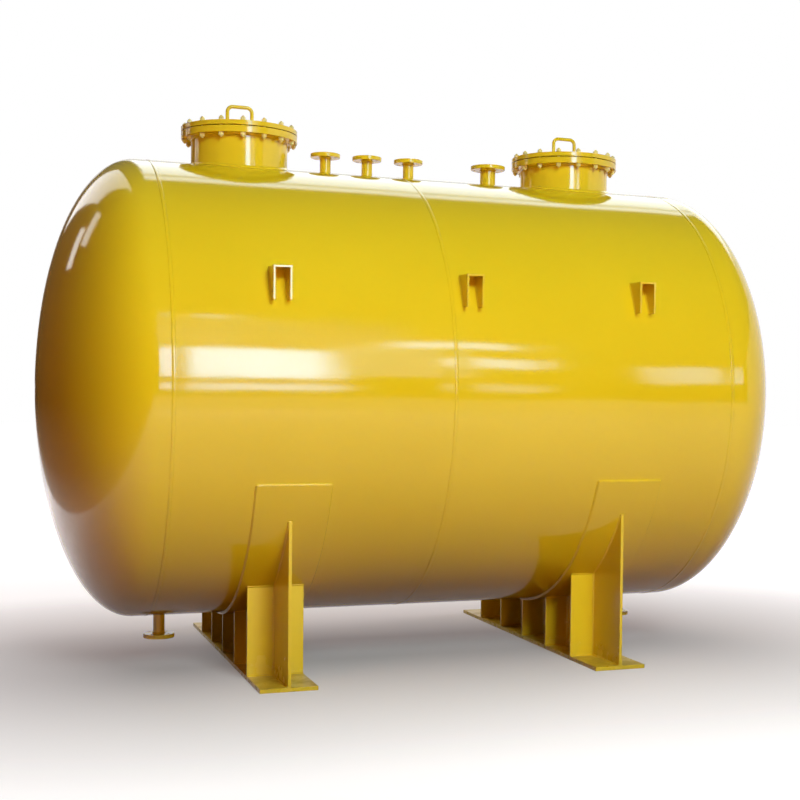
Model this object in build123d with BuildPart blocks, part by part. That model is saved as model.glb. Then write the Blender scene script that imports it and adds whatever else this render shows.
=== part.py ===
import os
from math import cos, radians, sin, sqrt

from build123d import *

# Above-ground horizontal storage tank on two saddles. Millimetres.
# X runs along the tank, Y across it with the photographed side at -Y, Z is up.
# The origin is on the ground under the middle of the tank.

# Shell: two rolled courses and two semi-elliptical heads
shell_radius = 1210.0
shell_plate = 10.0
shell_clearance = 256.0
head_seam = 1463.0
mid_seam_x = -97.0
straight_flange = 67.0
head_depth = 478.0

# Manways: rolled neck, plate flange, gasket, bolted cover, bar handle
manway_left_x = -950.0
manway_right_x = 991.0
manway_left_stand = 183.0
manway_right_stand = 162.0
manway_neck_radius = 260.0
manway_neck_wall = 10.0
manway_flange_width = 53.0
manway_flange_thick = 34.0
manway_bolt_inset = 20.5
manway_hole_radius = 9.0
manway_bolt_count = 16
manway_bolt_turn = -97.0
manway_neck_recess = 8.0
gasket_gap = 5.5
gasket_thick = 5.0
cover_thick = 24.0
handle_bar_radius = 10.0
handle_half_width = 67.0
handle_height = 137.0
handle_corner_radius = 30.0

# Top nozzles: three small and one larger, all with open flat-faced plate flanges
nozzle_1_gap = 481.0
nozzle_2_pitch = 241.0
nozzle_3_pitch = 245.0
nozzle_4_gap = 486.0
nozzle_stand = 119.0
small_pipe_radius = 30.15
small_pipe_wall = 3.9
small_flange_width = 52.35
small_bolt_count = 4
small_bolt_turn = 45.0
large_pipe_radius = 44.45
large_pipe_wall = 4.0
large_flange_width = 55.55
large_bolt_count = 8
large_bolt_turn = 22.5
flange_thick = 22.0
flange_hole_radius = 9.0
flange_bolt_inset = 20.0
pipe_recess = 5.0
rim_chamfer = 1.5

# Drain nozzles under both ends, in the small size
drain_inset = 93.0
drain_stand = 134.0

# Saddles: wear plate on the shell, cross web, ribs both sides, base plate
saddle_left_inset = 580.0
saddle_right_inset = 562.0
base_plate_width = 288.0
base_plate_reach = 1042.0
base_plate_thick = 20.0
web_thick = 16.0
rib_thick = 12.0
rib_end_y = 705.0
wear_plate_thick = 10.0
wear_plate_width = 364.0
wear_plate_low_angle = -158.0
wear_plate_sweep = 136.0

# Clips on the front of the shell
clip_left_x = -960.0
clip_middle_x = 5.0
clip_right_x = 960.0
clip_width = 90.0
clip_plate = 10.0
clip_reach = 128.0
clip_drop = 162.0
clip_rise = 586.0

# Allowances
fit_clearance = 0.4
cut_overrun = 50.0
half_share = 0.5
quarter_turn = 90.0
full_turn = 360.0

# Derived
shell_inner_radius = shell_radius - shell_plate
axis_height = shell_clearance + shell_radius
crown_height = axis_height + shell_radius
head_tangent = head_seam + straight_flange
head_tip = head_tangent + head_depth
manway_opening_radius = manway_neck_radius + fit_clearance
manway_bore_radius = manway_neck_radius - manway_neck_wall
manway_flange_radius = manway_neck_radius + manway_flange_width
manway_bolt_radius = manway_flange_radius - manway_bolt_inset
gasket_radius = manway_bolt_radius - manway_hole_radius - gasket_gap
manway_left_face = crown_height + manway_left_stand
manway_right_face = crown_height + manway_right_stand
cover_left_base = manway_left_face + gasket_thick
cover_right_base = manway_right_face + gasket_thick
handle_left_base = cover_left_base + cover_thick
handle_right_base = cover_right_base + cover_thick
handle_bar_height = handle_height - handle_bar_radius
nozzle_1_x = manway_left_x + nozzle_1_gap
nozzle_2_x = nozzle_1_x + nozzle_2_pitch
nozzle_3_x = nozzle_2_x + nozzle_3_pitch
nozzle_4_x = manway_right_x - nozzle_4_gap
nozzle_face = crown_height + nozzle_stand
nozzle_flange_base = nozzle_face - flange_thick
small_flange_radius = small_pipe_radius + small_flange_width
large_flange_radius = large_pipe_radius + large_flange_width
small_bolt_radius = small_flange_radius - flange_bolt_inset
large_bolt_radius = large_flange_radius - flange_bolt_inset
small_bore_radius = small_pipe_radius - small_pipe_wall
large_bore_radius = large_pipe_radius - large_pipe_wall
small_opening_radius = small_pipe_radius + fit_clearance
large_opening_radius = large_pipe_radius + fit_clearance
drain_left_x = drain_inset - head_seam
drain_right_x = head_seam - drain_inset
drain_face_height = shell_clearance - drain_stand
drain_flange_top = drain_face_height + flange_thick
saddle_left_x = saddle_left_inset - head_seam
saddle_right_x = head_seam - saddle_right_inset
wear_plate_radius = shell_radius + wear_plate_thick
half_web = web_thick * half_share
rib_length = (base_plate_width - web_thick) * half_share
rib_offset = half_web + rib_length * half_share
rib_mid_y = rib_end_y * half_share
rib_rows = (-rib_end_y, -rib_mid_y, 0, rib_mid_y, rib_end_y)
base_plate_length = base_plate_reach + base_plate_reach
clip_offset = (clip_width - clip_plate) * half_share
clip_low = clip_rise - clip_drop
clip_root_y = -sqrt(shell_radius * shell_radius - clip_rise * clip_rise)
clip_front_y = clip_root_y - clip_reach
clip_rear_y = clip_root_y + cut_overrun
clip_depth = clip_rear_y - clip_front_y
clip_mid_y = (clip_rear_y + clip_front_y) * half_share
clip_xs = (clip_left_x, clip_middle_x, clip_right_x)
tank_axis = Axis.X.located(Location((0, 0, axis_height)))
left_facing = Plane((0, 0, 0), x_dir=-Plane.XZ.x_dir, z_dir=-Plane.XZ.z_dir)


def head_profile():
    """Half section of a head: straight flange, then two quarter ellipses one plate apart."""
    inner_depth = head_depth - shell_plate
    inner_height = axis_height + shell_inner_radius
    centre = (head_tangent, axis_height)
    Line((head_seam, crown_height), (head_tangent, crown_height))
    EllipticalCenterArc(centre, head_depth, shell_radius, arc_size=quarter_turn)
    Line((head_tip, axis_height), (head_tip - shell_plate, axis_height))
    EllipticalCenterArc(centre, inner_depth, shell_inner_radius, arc_size=quarter_turn)
    Line((head_tangent, inner_height), (head_seam, inner_height))
    Line((head_seam, inner_height), (head_seam, crown_height))


def bolt_spots(centre_x, radius, count, turn):
    """Hole centres on a bolt circle, the first one turned from +X by the given degrees."""
    angles = [radians(turn + full_turn * step / count) for step in range(count)]
    return [(centre_x + radius * cos(angle), radius * sin(angle)) for angle in angles]


def top_openings():
    """Holes along the crown for the manways and top nozzles, whichever course they fall on."""
    with Locations((manway_left_x, 0), (manway_right_x, 0)):
        Circle(manway_opening_radius)
    with Locations((nozzle_1_x, 0), (nozzle_2_x, 0), (nozzle_3_x, 0)):
        Circle(small_opening_radius)
    with Locations((nozzle_4_x, 0)):
        Circle(large_opening_radius)


def drain_openings():
    """Holes along the low line for the drain nozzles."""
    with Locations((drain_left_x, 0), (drain_right_x, 0)):
        Circle(small_opening_radius)


def rib_spots(saddle_x):
    """Rib centres on both faces of a web."""
    return [(saddle_x + side, row) for row in rib_rows for side in (-rib_offset, rib_offset)]


def wear_plate_profile():
    """Curved plate section lying on the underside of the shell."""
    centre = (0, axis_height)
    inner = CenterArc(centre, shell_radius, wear_plate_low_angle, wear_plate_sweep)
    outer = CenterArc(centre, wear_plate_radius, wear_plate_low_angle, wear_plate_sweep)
    Line(inner @ 0, outer @ 0)
    Line(inner @ 1, outer @ 1)


def handle_path(centre_x, base_z):
    """Corner points of a bar handle standing on a cover, in the XZ plane."""
    top_z = base_z + handle_bar_height
    left_x = centre_x - handle_half_width
    right_x = centre_x + handle_half_width
    return [(left_x, base_z), (left_x, top_z), (right_x, top_z), (right_x, base_z)]


os.makedirs("parts", exist_ok=True)

with BuildPart() as shell_course_left:
    with BuildSketch(Plane.YZ.offset(-head_seam)):
        with Locations((0, axis_height)):
            Circle(shell_radius)
            Circle(shell_inner_radius, mode=Mode.SUBTRACT)
    extrude(amount=mid_seam_x + head_seam)
    with BuildSketch(Plane.XY.offset(axis_height)):
        top_openings()
    extrude(amount=shell_radius + cut_overrun, mode=Mode.SUBTRACT)
    with BuildSketch(Plane.XY.offset(axis_height)):
        drain_openings()
    extrude(amount=-shell_radius - cut_overrun, mode=Mode.SUBTRACT)
shell_course_left.part.label = "shell_course_left"
export_step(shell_course_left.part, "parts/shell_course_left.step")

with BuildPart() as shell_course_right:
    with BuildSketch(Plane.YZ.offset(mid_seam_x)):
        with Locations((0, axis_height)):
            Circle(shell_radius)
            Circle(shell_inner_radius, mode=Mode.SUBTRACT)
    extrude(amount=head_seam - mid_seam_x)
    with BuildSketch(Plane.XY.offset(axis_height)):
        top_openings()
    extrude(amount=shell_radius + cut_overrun, mode=Mode.SUBTRACT)
    with BuildSketch(Plane.XY.offset(axis_height)):
        drain_openings()
    extrude(amount=-shell_radius - cut_overrun, mode=Mode.SUBTRACT)
shell_course_right.part.label = "shell_course_right"
export_step(shell_course_right.part, "parts/shell_course_right.step")

with BuildPart() as head_left:
    with BuildSketch(left_facing):
        with BuildLine():
            head_profile()
        make_face()
    revolve(axis=tank_axis)
head_left.part.label = "head_left"
export_step(head_left.part, "parts/head_left.step")

with BuildPart() as head_right:
    with BuildSketch(Plane.XZ):
        with BuildLine():
            head_profile()
        make_face()
    revolve(axis=tank_axis)
head_right.part.label = "head_right"
export_step(head_right.part, "parts/head_right.step")

# Manway necks run through the shell and end flush with its inside, so their feet are saddle cut.
with BuildPart() as manway_left_neck:
    with BuildSketch(Plane.XY.offset(axis_height)):
        with Locations((manway_left_x, 0)):
            Circle(manway_neck_radius)
            Circle(manway_bore_radius, mode=Mode.SUBTRACT)
    extrude(amount=shell_radius + manway_left_stand - manway_neck_recess)
    with BuildSketch(Plane.YZ.offset(manway_left_x)):
        with Locations((0, axis_height)):
            Circle(shell_inner_radius)
    extrude(amount=manway_neck_radius + cut_overrun, both=True, mode=Mode.SUBTRACT)
manway_left_neck.part.label = "manway_left_neck"
export_step(manway_left_neck.part, "parts/manway_left_neck.step")

with BuildPart() as manway_left_flange:
    with BuildSketch(Plane.XY.offset(manway_left_face - manway_flange_thick)):
        with Locations((manway_left_x, 0)):
            Circle(manway_flange_radius)
            Circle(manway_opening_radius, mode=Mode.SUBTRACT)
        with Locations(*bolt_spots(manway_left_x, manway_bolt_radius, manway_bolt_count, manway_bolt_turn)):
            Circle(manway_hole_radius, mode=Mode.SUBTRACT)
    extrude(amount=manway_flange_thick)
manway_left_flange.part.label = "manway_left_flange"
export_step(manway_left_flange.part, "parts/manway_left_flange.step")

with BuildPart() as manway_left_gasket:
    with BuildSketch(Plane.XY.offset(manway_left_face)):
        with Locations((manway_left_x, 0)):
            Circle(gasket_radius)
            Circle(manway_bore_radius, mode=Mode.SUBTRACT)
    extrude(amount=gasket_thick)
manway_left_gasket.part.label = "manway_left_gasket"
export_step(manway_left_gasket.part, "parts/manway_left_gasket.step")

with BuildPart() as manway_left_cover:
    with BuildSketch(Plane.XY.offset(cover_left_base)):
        with Locations((manway_left_x, 0)):
            Circle(manway_flange_radius)
        with Locations(*bolt_spots(manway_left_x, manway_bolt_radius, manway_bolt_count, manway_bolt_turn)):
            Circle(manway_hole_radius, mode=Mode.SUBTRACT)
    extrude(amount=cover_thick)
manway_left_cover.part.label = "manway_left_cover"
export_step(manway_left_cover.part, "parts/manway_left_cover.step")

with BuildPart() as manway_left_handle:
    with BuildLine(Plane.XZ) as left_loop:
        Polyline(*handle_path(manway_left_x, handle_left_base))
        fillet(left_loop.vertices().sort_by(Axis.Z)[-2:], radius=handle_corner_radius)
    with BuildSketch(Plane.XY.offset(handle_left_base)):
        with Locations((manway_left_x - handle_half_width, 0)):
            Circle(handle_bar_radius)
    sweep()
manway_left_handle.part.label = "manway_left_handle"
export_step(manway_left_handle.part, "parts/manway_left_handle.step")

with BuildPart() as manway_right_neck:
    with BuildSketch(Plane.XY.offset(axis_height)):
        with Locations((manway_right_x, 0)):
            Circle(manway_neck_radius)
            Circle(manway_bore_radius, mode=Mode.SUBTRACT)
    extrude(amount=shell_radius + manway_right_stand - manway_neck_recess)
    with BuildSketch(Plane.YZ.offset(manway_right_x)):
        with Locations((0, axis_height)):
            Circle(shell_inner_radius)
    extrude(amount=manway_neck_radius + cut_overrun, both=True, mode=Mode.SUBTRACT)
manway_right_neck.part.label = "manway_right_neck"
export_step(manway_right_neck.part, "parts/manway_right_neck.step")

with BuildPart() as manway_right_flange:
    with BuildSketch(Plane.XY.offset(manway_right_face - manway_flange_thick)):
        with Locations((manway_right_x, 0)):
            Circle(manway_flange_radius)
            Circle(manway_opening_radius, mode=Mode.SUBTRACT)
        with Locations(*bolt_spots(manway_right_x, manway_bolt_radius, manway_bolt_count, manway_bolt_turn)):
            Circle(manway_hole_radius, mode=Mode.SUBTRACT)
    extrude(amount=manway_flange_thick)
manway_right_flange.part.label = "manway_right_flange"
export_step(manway_right_flange.part, "parts/manway_right_flange.step")

with BuildPart() as manway_right_gasket:
    with BuildSketch(Plane.XY.offset(manway_right_face)):
        with Locations((manway_right_x, 0)):
            Circle(gasket_radius)
            Circle(manway_bore_radius, mode=Mode.SUBTRACT)
    extrude(amount=gasket_thick)
manway_right_gasket.part.label = "manway_right_gasket"
export_step(manway_right_gasket.part, "parts/manway_right_gasket.step")

with BuildPart() as manway_right_cover:
    with BuildSketch(Plane.XY.offset(cover_right_base)):
        with Locations((manway_right_x, 0)):
            Circle(manway_flange_radius)
        with Locations(*bolt_spots(manway_right_x, manway_bolt_radius, manway_bolt_count, manway_bolt_turn)):
            Circle(manway_hole_radius, mode=Mode.SUBTRACT)
    extrude(amount=cover_thick)
manway_right_cover.part.label = "manway_right_cover"
export_step(manway_right_cover.part, "parts/manway_right_cover.step")

with BuildPart() as manway_right_handle:
    with BuildLine(Plane.XZ) as right_loop:
        Polyline(*handle_path(manway_right_x, handle_right_base))
        fillet(right_loop.vertices().sort_by(Axis.Z)[-2:], radius=handle_corner_radius)
    with BuildSketch(Plane.XY.offset(handle_right_base)):
        with Locations((manway_right_x - handle_half_width, 0)):
            Circle(handle_bar_radius)
    sweep()
manway_right_handle.part.label = "manway_right_handle"
export_step(manway_right_handle.part, "parts/manway_right_handle.step")

# Top nozzles: the pipe stops short of the flange face, as a slip-on plate flange is welded.
with BuildPart() as nozzle_1_neck:
    with BuildSketch(Plane.XY.offset(axis_height)):
        with Locations((nozzle_1_x, 0)):
            Circle(small_pipe_radius)
            Circle(small_bore_radius, mode=Mode.SUBTRACT)
    extrude(amount=shell_radius + nozzle_stand - pipe_recess)
    with BuildSketch(Plane.YZ.offset(nozzle_1_x)):
        with Locations((0, axis_height)):
            Circle(shell_inner_radius)
    extrude(amount=small_pipe_radius + cut_overrun, both=True, mode=Mode.SUBTRACT)
nozzle_1_neck.part.label = "nozzle_1_neck"
export_step(nozzle_1_neck.part, "parts/nozzle_1_neck.step")

with BuildPart() as nozzle_1_flange:
    with BuildSketch(Plane.XY.offset(nozzle_flange_base)):
        with Locations((nozzle_1_x, 0)):
            Circle(small_flange_radius)
    extrude(amount=flange_thick)
    chamfer(nozzle_1_flange.edges(), length=rim_chamfer)
    with BuildSketch(Plane.XY.offset(nozzle_face)):
        with Locations((nozzle_1_x, 0)):
            Circle(small_opening_radius)
        with Locations(*bolt_spots(nozzle_1_x, small_bolt_radius, small_bolt_count, small_bolt_turn)):
            Circle(flange_hole_radius)
    extrude(amount=-flange_thick - cut_overrun, mode=Mode.SUBTRACT)
nozzle_1_flange.part.label = "nozzle_1_flange"
export_step(nozzle_1_flange.part, "parts/nozzle_1_flange.step")

with BuildPart() as nozzle_2_neck:
    with BuildSketch(Plane.XY.offset(axis_height)):
        with Locations((nozzle_2_x, 0)):
            Circle(small_pipe_radius)
            Circle(small_bore_radius, mode=Mode.SUBTRACT)
    extrude(amount=shell_radius + nozzle_stand - pipe_recess)
    with BuildSketch(Plane.YZ.offset(nozzle_2_x)):
        with Locations((0, axis_height)):
            Circle(shell_inner_radius)
    extrude(amount=small_pipe_radius + cut_overrun, both=True, mode=Mode.SUBTRACT)
nozzle_2_neck.part.label = "nozzle_2_neck"
export_step(nozzle_2_neck.part, "parts/nozzle_2_neck.step")

with BuildPart() as nozzle_2_flange:
    with BuildSketch(Plane.XY.offset(nozzle_flange_base)):
        with Locations((nozzle_2_x, 0)):
            Circle(small_flange_radius)
    extrude(amount=flange_thick)
    chamfer(nozzle_2_flange.edges(), length=rim_chamfer)
    with BuildSketch(Plane.XY.offset(nozzle_face)):
        with Locations((nozzle_2_x, 0)):
            Circle(small_opening_radius)
        with Locations(*bolt_spots(nozzle_2_x, small_bolt_radius, small_bolt_count, small_bolt_turn)):
            Circle(flange_hole_radius)
    extrude(amount=-flange_thick - cut_overrun, mode=Mode.SUBTRACT)
nozzle_2_flange.part.label = "nozzle_2_flange"
export_step(nozzle_2_flange.part, "parts/nozzle_2_flange.step")

with BuildPart() as nozzle_3_neck:
    with BuildSketch(Plane.XY.offset(axis_height)):
        with Locations((nozzle_3_x, 0)):
            Circle(small_pipe_radius)
            Circle(small_bore_radius, mode=Mode.SUBTRACT)
    extrude(amount=shell_radius + nozzle_stand - pipe_recess)
    with BuildSketch(Plane.YZ.offset(nozzle_3_x)):
        with Locations((0, axis_height)):
            Circle(shell_inner_radius)
    extrude(amount=small_pipe_radius + cut_overrun, both=True, mode=Mode.SUBTRACT)
nozzle_3_neck.part.label = "nozzle_3_neck"
export_step(nozzle_3_neck.part, "parts/nozzle_3_neck.step")

with BuildPart() as nozzle_3_flange:
    with BuildSketch(Plane.XY.offset(nozzle_flange_base)):
        with Locations((nozzle_3_x, 0)):
            Circle(small_flange_radius)
    extrude(amount=flange_thick)
    chamfer(nozzle_3_flange.edges(), length=rim_chamfer)
    with BuildSketch(Plane.XY.offset(nozzle_face)):
        with Locations((nozzle_3_x, 0)):
            Circle(small_opening_radius)
        with Locations(*bolt_spots(nozzle_3_x, small_bolt_radius, small_bolt_count, small_bolt_turn)):
            Circle(flange_hole_radius)
    extrude(amount=-flange_thick - cut_overrun, mode=Mode.SUBTRACT)
nozzle_3_flange.part.label = "nozzle_3_flange"
export_step(nozzle_3_flange.part, "parts/nozzle_3_flange.step")

with BuildPart() as nozzle_4_neck:
    with BuildSketch(Plane.XY.offset(axis_height)):
        with Locations((nozzle_4_x, 0)):
            Circle(large_pipe_radius)
            Circle(large_bore_radius, mode=Mode.SUBTRACT)
    extrude(amount=shell_radius + nozzle_stand - pipe_recess)
    with BuildSketch(Plane.YZ.offset(nozzle_4_x)):
        with Locations((0, axis_height)):
            Circle(shell_inner_radius)
    extrude(amount=large_pipe_radius + cut_overrun, both=True, mode=Mode.SUBTRACT)
nozzle_4_neck.part.label = "nozzle_4_neck"
export_step(nozzle_4_neck.part, "parts/nozzle_4_neck.step")

with BuildPart() as nozzle_4_flange:
    with BuildSketch(Plane.XY.offset(nozzle_flange_base)):
        with Locations((nozzle_4_x, 0)):
            Circle(large_flange_radius)
    extrude(amount=flange_thick)
    chamfer(nozzle_4_flange.edges(), length=rim_chamfer)
    with BuildSketch(Plane.XY.offset(nozzle_face)):
        with Locations((nozzle_4_x, 0)):
            Circle(large_opening_radius)
        with Locations(*bolt_spots(nozzle_4_x, large_bolt_radius, large_bolt_count, large_bolt_turn)):
            Circle(flange_hole_radius)
    extrude(amount=-flange_thick - cut_overrun, mode=Mode.SUBTRACT)
nozzle_4_flange.part.label = "nozzle_4_flange"
export_step(nozzle_4_flange.part, "parts/nozzle_4_flange.step")

# Drain nozzles point down from the low line of the shell.
with BuildPart() as drain_left_neck:
    with BuildSketch(Plane.XY.offset(drain_face_height + pipe_recess)):
        with Locations((drain_left_x, 0)):
            Circle(small_pipe_radius)
            Circle(small_bore_radius, mode=Mode.SUBTRACT)
    extrude(amount=axis_height - drain_face_height - pipe_recess)
    with BuildSketch(Plane.YZ.offset(drain_left_x)):
        with Locations((0, axis_height)):
            Circle(shell_inner_radius)
    extrude(amount=small_pipe_radius + cut_overrun, both=True, mode=Mode.SUBTRACT)
drain_left_neck.part.label = "drain_left_neck"
export_step(drain_left_neck.part, "parts/drain_left_neck.step")

with BuildPart() as drain_left_flange:
    with BuildSketch(Plane.XY.offset(drain_flange_top)):
        with Locations((drain_left_x, 0)):
            Circle(small_flange_radius)
    extrude(amount=-flange_thick)
    chamfer(drain_left_flange.edges(), length=rim_chamfer)
    with BuildSketch(Plane.XY.offset(drain_face_height)):
        with Locations((drain_left_x, 0)):
            Circle(small_opening_radius)
        with Locations(*bolt_spots(drain_left_x, small_bolt_radius, small_bolt_count, small_bolt_turn)):
            Circle(flange_hole_radius)
    extrude(amount=flange_thick + cut_overrun, mode=Mode.SUBTRACT)
drain_left_flange.part.label = "drain_left_flange"
export_step(drain_left_flange.part, "parts/drain_left_flange.step")

with BuildPart() as drain_right_neck:
    with BuildSketch(Plane.XY.offset(drain_face_height + pipe_recess)):
        with Locations((drain_right_x, 0)):
            Circle(small_pipe_radius)
            Circle(small_bore_radius, mode=Mode.SUBTRACT)
    extrude(amount=axis_height - drain_face_height - pipe_recess)
    with BuildSketch(Plane.YZ.offset(drain_right_x)):
        with Locations((0, axis_height)):
            Circle(shell_inner_radius)
    extrude(amount=small_pipe_radius + cut_overrun, both=True, mode=Mode.SUBTRACT)
drain_right_neck.part.label = "drain_right_neck"
export_step(drain_right_neck.part, "parts/drain_right_neck.step")

with BuildPart() as drain_right_flange:
    with BuildSketch(Plane.XY.offset(drain_flange_top)):
        with Locations((drain_right_x, 0)):
            Circle(small_flange_radius)
    extrude(amount=-flange_thick)
    chamfer(drain_right_flange.edges(), length=rim_chamfer)
    with BuildSketch(Plane.XY.offset(drain_face_height)):
        with Locations((drain_right_x, 0)):
            Circle(small_opening_radius)
        with Locations(*bolt_spots(drain_right_x, small_bolt_radius, small_bolt_count, small_bolt_turn)):
            Circle(flange_hole_radius)
    extrude(amount=flange_thick + cut_overrun, mode=Mode.SUBTRACT)
drain_right_flange.part.label = "drain_right_flange"
export_step(drain_right_flange.part, "parts/drain_right_flange.step")

# Saddles
with BuildPart() as saddle_left_wear_plate:
    with BuildSketch(Plane.YZ.offset(saddle_left_x)):
        with BuildLine():
            wear_plate_profile()
        make_face()
    extrude(amount=wear_plate_width * half_share, both=True)
saddle_left_wear_plate.part.label = "saddle_left_wear_plate"
export_step(saddle_left_wear_plate.part, "parts/saddle_left_wear_plate.step")

with BuildPart() as saddle_left_web:
    with BuildSketch(Plane.XY.offset(base_plate_thick)):
        with Locations((saddle_left_x, 0)):
            Rectangle(web_thick, base_plate_length)
    extrude(amount=axis_height - base_plate_thick)
    with BuildSketch(Plane.YZ.offset(saddle_left_x)):
        with Locations((0, axis_height)):
            Circle(wear_plate_radius)
    extrude(amount=half_web + cut_overrun, both=True, mode=Mode.SUBTRACT)
saddle_left_web.part.label = "saddle_left_web"
export_step(saddle_left_web.part, "parts/saddle_left_web.step")

with BuildPart() as saddle_left_ribs:
    with BuildSketch(Plane.XY.offset(base_plate_thick)):
        with Locations(*rib_spots(saddle_left_x)):
            Rectangle(rib_length, rib_thick)
    extrude(amount=axis_height - base_plate_thick)
    with BuildSketch(Plane.YZ.offset(saddle_left_x)):
        with Locations((0, axis_height)):
            Circle(wear_plate_radius)
    extrude(amount=base_plate_width, both=True, mode=Mode.SUBTRACT)
saddle_left_ribs.part.label = "saddle_left_ribs"
export_step(saddle_left_ribs.part, "parts/saddle_left_ribs.step")

with BuildPart() as saddle_left_base_plate:
    with BuildSketch(Plane.XY):
        with Locations((saddle_left_x, 0)):
            Rectangle(base_plate_width, base_plate_length)
    extrude(amount=base_plate_thick)
saddle_left_base_plate.part.label = "saddle_left_base_plate"
export_step(saddle_left_base_plate.part, "parts/saddle_left_base_plate.step")

with BuildPart() as saddle_right_wear_plate:
    with BuildSketch(Plane.YZ.offset(saddle_right_x)):
        with BuildLine():
            wear_plate_profile()
        make_face()
    extrude(amount=wear_plate_width * half_share, both=True)
saddle_right_wear_plate.part.label = "saddle_right_wear_plate"
export_step(saddle_right_wear_plate.part, "parts/saddle_right_wear_plate.step")

with BuildPart() as saddle_right_web:
    with BuildSketch(Plane.XY.offset(base_plate_thick)):
        with Locations((saddle_right_x, 0)):
            Rectangle(web_thick, base_plate_length)
    extrude(amount=axis_height - base_plate_thick)
    with BuildSketch(Plane.YZ.offset(saddle_right_x)):
        with Locations((0, axis_height)):
            Circle(wear_plate_radius)
    extrude(amount=half_web + cut_overrun, both=True, mode=Mode.SUBTRACT)
saddle_right_web.part.label = "saddle_right_web"
export_step(saddle_right_web.part, "parts/saddle_right_web.step")

with BuildPart() as saddle_right_ribs:
    with BuildSketch(Plane.XY.offset(base_plate_thick)):
        with Locations(*rib_spots(saddle_right_x)):
            Rectangle(rib_length, rib_thick)
    extrude(amount=axis_height - base_plate_thick)
    with BuildSketch(Plane.YZ.offset(saddle_right_x)):
        with Locations((0, axis_height)):
            Circle(wear_plate_radius)
    extrude(amount=base_plate_width, both=True, mode=Mode.SUBTRACT)
saddle_right_ribs.part.label = "saddle_right_ribs"
export_step(saddle_right_ribs.part, "parts/saddle_right_ribs.step")

with BuildPart() as saddle_right_base_plate:
    with BuildSketch(Plane.XY):
        with Locations((saddle_right_x, 0)):
            Rectangle(base_plate_width, base_plate_length)
    extrude(amount=base_plate_thick)
saddle_right_base_plate.part.label = "saddle_right_base_plate"
export_step(saddle_right_base_plate.part, "parts/saddle_right_base_plate.step")

# Clips: a level top plate carried by two upright gussets whose backs follow the shell
with BuildPart() as clip_tops:
    with BuildSketch(Plane.XY.offset(axis_height + clip_rise - clip_plate)):
        with Locations(*[(clip_x, clip_mid_y) for clip_x in clip_xs]):
            Rectangle(clip_width, clip_depth)
    extrude(amount=clip_plate)
    with BuildSketch(Plane.YZ):
        with Locations((0, axis_height)):
            Circle(shell_radius)
    extrude(amount=head_seam, both=True, mode=Mode.SUBTRACT)
clip_tops.part.label = "clip_tops"
export_step(clip_tops.part, "parts/clip_tops.step")

with BuildPart() as clip_gussets:
    with BuildSketch(Plane.XY.offset(axis_height + clip_low)):
        with Locations(*[(clip_x - clip_offset, clip_mid_y) for clip_x in clip_xs]):
            Rectangle(clip_plate, clip_depth)
        with Locations(*[(clip_x + clip_offset, clip_mid_y) for clip_x in clip_xs]):
            Rectangle(clip_plate, clip_depth)
    extrude(amount=clip_rise - clip_plate - clip_low)
    with BuildSketch(Plane.YZ):
        with Locations((0, axis_height)):
            Circle(shell_radius)
    extrude(amount=head_seam, both=True, mode=Mode.SUBTRACT)
clip_gussets.part.label = "clip_gussets"
export_step(clip_gussets.part, "parts/clip_gussets.step")
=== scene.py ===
"""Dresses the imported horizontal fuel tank: enamel, weld beads, manway bolting, studio and camera.

Lengths are metres in the tank's frame: X along the tank, -Y to the front, Z up from the ground.
"""

from __future__ import annotations

import logging
from dataclasses import dataclass, field
from enum import Enum

import bpy
import numpy as np
from mathutils import Matrix, Vector


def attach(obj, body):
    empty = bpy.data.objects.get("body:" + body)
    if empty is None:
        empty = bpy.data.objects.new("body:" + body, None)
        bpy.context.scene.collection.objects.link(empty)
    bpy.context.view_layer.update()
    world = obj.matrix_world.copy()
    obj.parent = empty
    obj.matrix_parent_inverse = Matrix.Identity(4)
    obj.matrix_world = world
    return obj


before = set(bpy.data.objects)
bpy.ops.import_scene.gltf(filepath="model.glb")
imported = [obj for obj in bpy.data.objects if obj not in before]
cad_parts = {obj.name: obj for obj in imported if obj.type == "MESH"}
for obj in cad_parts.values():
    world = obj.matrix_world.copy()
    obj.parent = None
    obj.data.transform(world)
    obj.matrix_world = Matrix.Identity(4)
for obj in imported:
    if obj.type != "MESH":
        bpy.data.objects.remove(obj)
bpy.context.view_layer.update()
NODES: dict[str, bpy.types.Object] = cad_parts
BODY = "root"

TURN = 2.0 * np.pi
SHARP_EDGE = np.radians(38.0)
RING_STEP = 0.003
RING_LEAST = 96

SHELL_RADIUS = 1.21
AXIS_HEIGHT = 1.466
RING_SEAMS = (-1.463, -0.097, 1.463)

Vec3 = tuple[float, float, float]
Span = tuple[float, float]
Side = np.ndarray | Vec3
Surface = tuple[np.ndarray, np.ndarray]
Socket = bpy.types.NodeSocket
Material = bpy.types.Material

logging.basicConfig(level=logging.INFO, format="%(name)s: %(message)s")
log = logging.getLogger("fuel_tank")


class Slot(str, Enum):
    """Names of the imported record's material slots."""

    SHELL = "shell_enamel"
    SADDLE = "saddle_enamel"
    FITTING = "fitting_enamel"


class Facing(Enum):
    """Which way a nozzle's flange looks."""

    UP = 1.0
    DOWN = -1.0


class Ring(Enum):
    """Where a ring weld sits: behind the flange, or in its bore on the end of the pipe."""

    BACK = 1.0
    MOUTH = -1.0


class Work(Enum):
    """What a lamp does: light matt surfaces, or stand as a bright window in the gloss."""

    LIGHT = "light"
    MIRROR = "mirror"


# Mesh tools


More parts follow.
